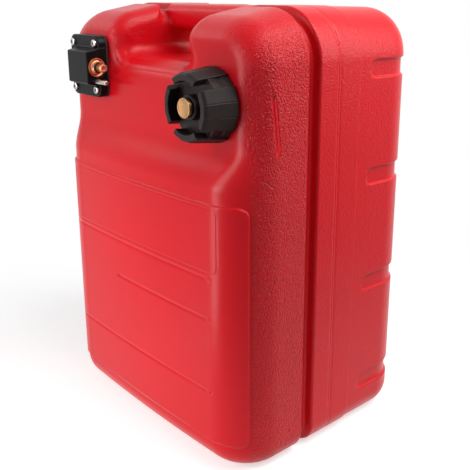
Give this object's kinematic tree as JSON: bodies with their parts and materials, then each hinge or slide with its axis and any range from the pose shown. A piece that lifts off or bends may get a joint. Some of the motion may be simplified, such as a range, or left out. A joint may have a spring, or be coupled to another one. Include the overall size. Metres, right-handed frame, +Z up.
{
  "type": "portable outboard fuel tank",
  "caption": "Upright blow-moulded fuel tank with a carry handle across its top, a vented screw cap and a flanged fuel connector with its pick-up tube.",
  "frame": {"origin": "on the floor, at the middle of the shell's base", "axes": "+Z up, -Y towards the wall that carries the filler and the fuel connector, +X towards the filler's side"},
  "size_m": [0.34, 0.2792, 0.47],
  "materials": {
    "red_polyethylene": "satin blow-moulded polyethylene, grained on the side bands",
    "black_plastic": "fine matt moulded plastic",
    "black_rubber": "matt seal rubber",
    "brass": "turned brass",
    "stainless_steel": "bright stainless steel",
    "natural_polymer": "natural tube polymer"
  },
  "bodies": {
    "tank": {"tank_shell": "red_polyethylene", "connector_gasket": "black_rubber", "connector_housing": "black_plastic", "flange_screw_1": "stainless_steel", "flange_screw_2": "stainless_steel", "flange_screw_3": "stainless_steel", "flange_screw_4": "stainless_steel", "wall_insert_1": "brass", "wall_insert_2": "brass", "wall_insert_3": "brass", "wall_insert_4": "brass", "fuel_nipple": "brass", "nipple_seal": "black_rubber", "valve_spring": "stainless_steel", "locating_pin": "stainless_steel", "pickup_tube": "natural_polymer", "pickup_strainer": "black_plastic"},
    "cap_seal": {"cap_liner": "black_plastic", "cap_gasket": "black_rubber"},
    "cap": {"cap_shell": "black_plastic", "vent_bush": "brass"},
    "vent_seal": {"vent_washer": "black_rubber"},
    "vent": {"vent_screw": "brass", "vent_stop_ring": "stainless_steel"},
    "check_valve": {"valve_plunger": "stainless_steel"}
  },
  "joints": [
    {"name": "cap_lift", "type": "slide", "parent": "tank", "child": "cap_seal", "axis": [0, -1, 0], "range_m": [0, 0.015]},
    {"name": "cap_turn", "type": "hinge", "parent": "cap_seal", "child": "cap", "pos_m": [0.112, -0.1105, 0.38], "axis": [0, -1, 0], "range_deg": [0, 1080]},
    {"name": "vent_lift", "type": "slide", "parent": "cap", "child": "vent_seal", "axis": [0, -1, 0], "range_m": [0, 0.0015]},
    {"name": "vent_turn", "type": "hinge", "parent": "vent_seal", "child": "vent", "pos_m": [0.112, -0.1105, 0.38], "axis": [0, -1, 0], "range_deg": [0, 540]},
    {"name": "check_valve_press", "type": "slide", "parent": "tank", "child": "check_valve", "axis": [-1, 0, 0], "range_m": [0, 0.003], "stiffness_N_per_m": 300, "springref_m": -0.003, "deforming": ["valve_spring"]}
  ],
  "couplings": [
    {"joint": "cap_turn", "follows": "cap_lift", "rad_per_m": 1256.6},
    {"joint": "vent_turn", "follows": "vent_lift", "rad_per_m": 6283.2}
  ]
}
